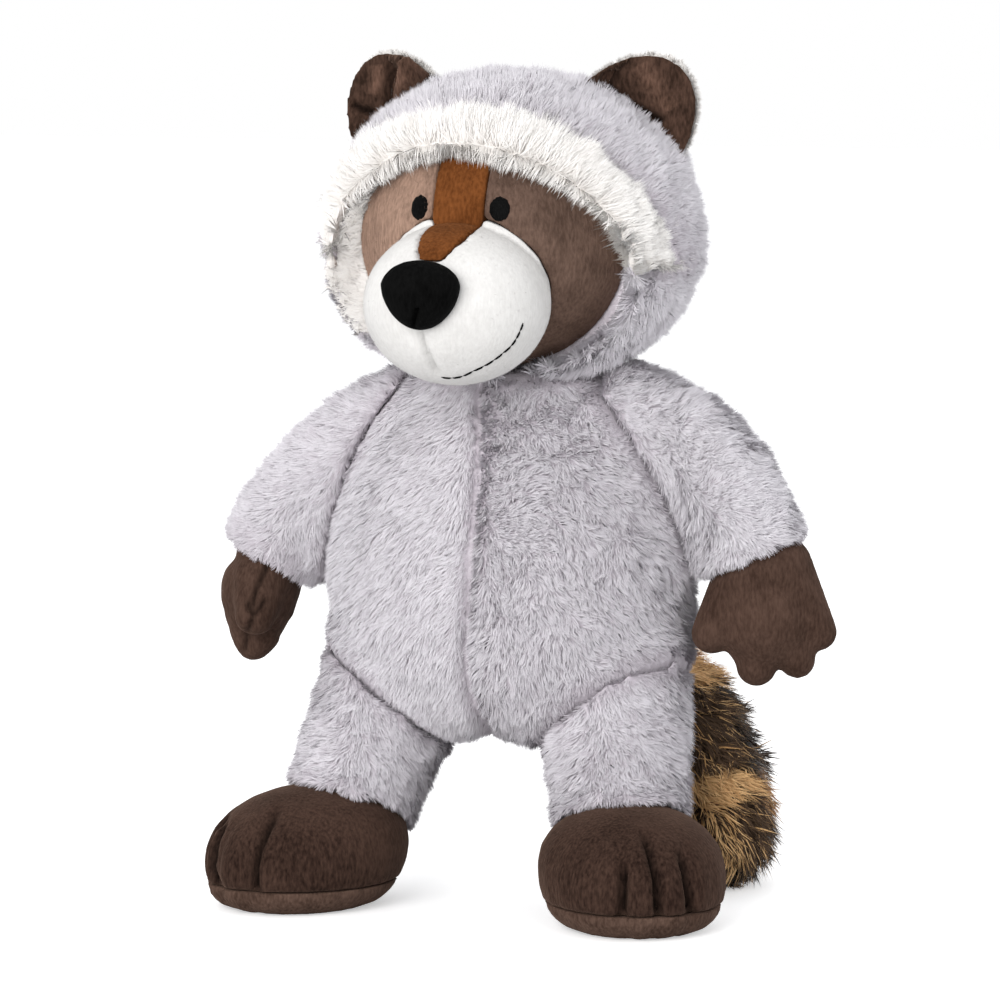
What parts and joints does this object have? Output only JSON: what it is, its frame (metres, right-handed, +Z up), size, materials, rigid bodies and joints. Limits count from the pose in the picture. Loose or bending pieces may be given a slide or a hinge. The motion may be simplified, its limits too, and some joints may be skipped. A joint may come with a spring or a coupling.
{
  "type": "plush raccoon dog toy",
  "caption": "Standing stuffed plush raccoon with a furry hood, padded muzzle, round ears, hanging arms with fingered paws, wide feet and a ringed tail.",
  "frame": {"origin": "on the floor under the middle of the toy's box, at the level of the soles", "axes": "+Z up through the head, -Y where the toy faces, +X its left hand side"},
  "size_m": [0.2564, 0.1956, 0.3362],
  "materials": {
    "plush_grey": "long-pile plush",
    "trim_white": "long-pile plush",
    "mask_brown": "short-nap velour",
    "stripe_rust": "short-nap velour",
    "muzzle_white": "short-nap velour",
    "nose_black": "short-nap velour",
    "thread_black": "embroidery thread",
    "paw_brown": "short-nap velour",
    "sole_brown": "short-nap velour",
    "tail_fur": "shaggy pile in bands"
  },
  "bodies": {
    "root": {"torso": "plush_grey", "hood": "plush_grey", "hood_trim": "trim_white", "mask_left": "mask_brown", "mask_right": "mask_brown", "brow_stripe": "stripe_rust", "muzzle": "muzzle_white", "nose": "nose_black", "eye_left": "thread_black", "eye_right": "thread_black", "mouth_thread": "thread_black", "ear_back_left": "trim_white", "ear_back_right": "trim_white", "ear_front_left": "mask_brown", "ear_front_right": "mask_brown", "sleeve_left": "plush_grey", "sleeve_right": "plush_grey", "paw_left": "paw_brown", "paw_right": "paw_brown", "leg_left": "plush_grey", "leg_right": "plush_grey", "foot_left": "paw_brown", "foot_right": "paw_brown", "sole_left": "sole_brown", "sole_right": "sole_brown", "tail": "tail_fur"}
  },
  "joints": []
}
